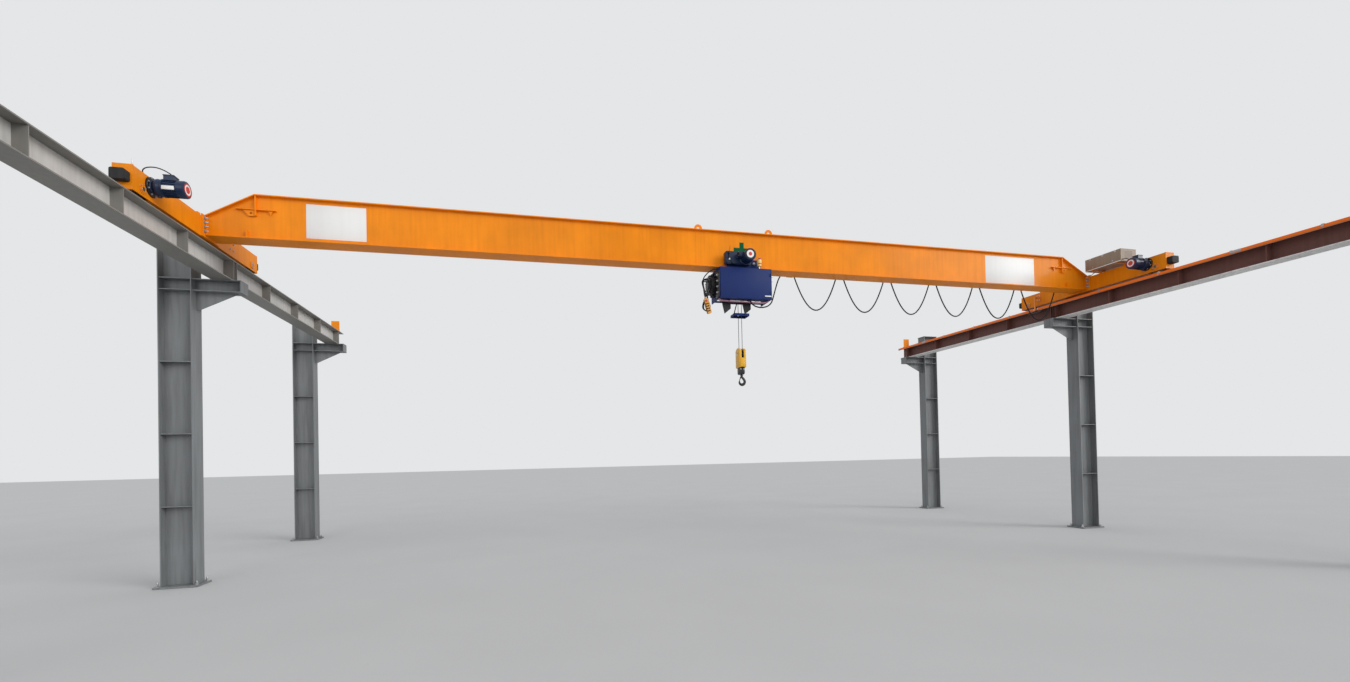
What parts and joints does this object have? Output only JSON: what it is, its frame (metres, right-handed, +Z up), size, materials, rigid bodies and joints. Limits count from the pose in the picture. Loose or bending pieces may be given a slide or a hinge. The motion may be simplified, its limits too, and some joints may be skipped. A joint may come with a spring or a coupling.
{
  "type": "overhead bridge crane",
  "caption": "Single-girder overhead travelling crane on two column-carried runways, with a wire-rope hoist, festoon cable and swivelling hook.",
  "frame": {"origin": "on the floor, midway between the two runways and between their ends", "axes": "+Z up, +X along the girder towards the conductor-bar side, +Y along the runway away from the motors' end"},
  "size_m": [16.3, 10, 5.3818],
  "materials": {
    "column_paint": "satin",
    "runway_brown": "satin",
    "rail_steel": "worn",
    "crane_orange": "gloss",
    "conductor_orange": "satin",
    "rubber": "matte",
    "motor_navy": "gloss",
    "cabinet_beige": "satin",
    "zinc_steel": "satin",
    "hoist_blue": "gloss",
    "drum_steel": "satin",
    "black_paint": "satin",
    "cable_black": "matte",
    "station_yellow": "satin",
    "block_yellow": "gloss",
    "hook_black": "satin",
    "wire_rope": "satin"
  },
  "bodies": {
    "runway": {"column_l1": "column_paint", "column_l2": "column_paint", "column_l3": "column_paint", "column_r1": "column_paint", "column_r2": "column_paint", "column_r3": "column_paint", "corbels": "column_paint", "runway_beam_l": "column_paint", "runway_beam_r": "runway_brown", "rails": "rail_steel", "runway_stops": "crane_orange", "conductor_bar": "conductor_orange"},
    "bridge": {"girder_box": "crane_orange", "girder_fittings": "crane_orange", "end_truck_l": "crane_orange", "end_truck_r": "crane_orange", "buffers": "rubber", "travel_drive_l": "motor_navy", "travel_drive_r": "motor_navy", "control_cabinet": "cabinet_beige", "collector": "crane_orange", "festoon_track": "zinc_steel", "festoon_cable": "cable_black", "bridge_leads": "cable_black"},
    "hoist": {"trolley_frame": "hoist_blue", "trolley_wheels": "rail_steel", "trolley_drive": "motor_navy", "drum_frame": "hoist_blue", "hoist_gearbox": "black_paint", "hoist_box": "hoist_blue", "rope_guide": "black_paint", "pendant_hank": "cable_black", "pendant_station": "station_yellow", "ropes": "wire_rope", "hoist_leads": "cable_black"},
    "drum": {"rope_drum": "drum_steel"},
    "hook_block": {"hook_block": "block_yellow"},
    "hook": {"hook": "hook_black"},
    "wheel_l1": {"wheel_l1": "rail_steel"},
    "wheel_l2": {"wheel_l2": "rail_steel"},
    "wheel_r1": {"wheel_r1": "rail_steel"},
    "wheel_r2": {"wheel_r2": "rail_steel"},
    "carrier_1": {"carrier_1": "zinc_steel"},
    "carrier_2": {"carrier_2": "zinc_steel"},
    "carrier_3": {"carrier_3": "zinc_steel"},
    "carrier_4": {"carrier_4": "zinc_steel"},
    "carrier_5": {"carrier_5": "zinc_steel"}
  },
  "joints": [
    {"name": "bridge_travel", "type": "slide", "parent": "runway", "child": "bridge", "axis": [0, 1, 0], "range_m": [-2.634, 3.994]},
    {"name": "hoist_travel", "type": "slide", "parent": "bridge", "child": "hoist", "axis": [1, 0, 0], "range_m": [-6.3, 4.4], "deforming": ["festoon_cable"]},
    {"name": "hook_lift", "type": "slide", "parent": "hoist", "child": "hook_block", "axis": [0, 0, 1], "range_m": [-2.4, 0.35], "deforming": ["ropes"]},
    {"name": "hook_swivel", "type": "hinge", "parent": "hook_block", "child": "hook", "pos_m": [0.21, -0.6, 3.018], "axis": [0, 0, 1], "continuous": true},
    {"name": "drum_spin", "type": "hinge", "parent": "hoist", "child": "drum", "pos_m": [0.21, -0.6, 4.399], "axis": [1, 0, 0], "range_deg": [-2300, 2300]},
    {"name": "wheel_l1_spin", "type": "hinge", "parent": "bridge", "child": "wheel_l1", "pos_m": [-7.34, -1.98, 4.7103], "axis": [1, 0, 0], "range_deg": [-3000, 3000]},
    {"name": "wheel_l2_spin", "type": "hinge", "parent": "bridge", "child": "wheel_l2", "pos_m": [-7.34, 0.62, 4.7103], "axis": [1, 0, 0], "range_deg": [-3000, 3000]},
    {"name": "wheel_r1_spin", "type": "hinge", "parent": "bridge", "child": "wheel_r1", "pos_m": [7.34, -1.98, 4.7103], "axis": [1, 0, 0], "range_deg": [-3000, 3000]},
    {"name": "wheel_r2_spin", "type": "hinge", "parent": "bridge", "child": "wheel_r2", "pos_m": [7.34, 0.62, 4.7103], "axis": [1, 0, 0], "range_deg": [-3000, 3000]},
    {"name": "carrier_1_slide", "type": "slide", "parent": "bridge", "child": "carrier_1", "axis": [1, 0, 0], "range_m": [-5.26, 3.6767]},
    {"name": "carrier_2_slide", "type": "slide", "parent": "bridge", "child": "carrier_2", "axis": [1, 0, 0], "range_m": [-4.21, 2.9433]},
    {"name": "carrier_3_slide", "type": "slide", "parent": "bridge", "child": "carrier_3", "axis": [1, 0, 0], "range_m": [-3.16, 2.21]},
    {"name": "carrier_4_slide", "type": "slide", "parent": "bridge", "child": "carrier_4", "axis": [1, 0, 0], "range_m": [-2.11, 1.4767]},
    {"name": "carrier_5_slide", "type": "slide", "parent": "bridge", "child": "carrier_5", "axis": [1, 0, 0], "range_m": [-1.06, 0.7433]}
  ],
  "couplings": [
    {"joint": "drum_spin", "follows": "hook_lift", "rad_per_m": 16.667},
    {"joint": "wheel_l1_spin", "follows": "bridge_travel", "rad_per_m": -10},
    {"joint": "wheel_l2_spin", "follows": "bridge_travel", "rad_per_m": -10},
    {"joint": "wheel_r1_spin", "follows": "bridge_travel", "rad_per_m": -10},
    {"joint": "wheel_r2_spin", "follows": "bridge_travel", "rad_per_m": -10},
    {"joint": "carrier_1_slide", "follows": "hoist_travel", "ratio": 0.83333},
    {"joint": "carrier_2_slide", "follows": "hoist_travel", "ratio": 0.66667},
    {"joint": "carrier_3_slide", "follows": "hoist_travel", "ratio": 0.5},
    {"joint": "carrier_4_slide", "follows": "hoist_travel", "ratio": 0.33333},
    {"joint": "carrier_5_slide", "follows": "hoist_travel", "ratio": 0.16667}
  ]
}
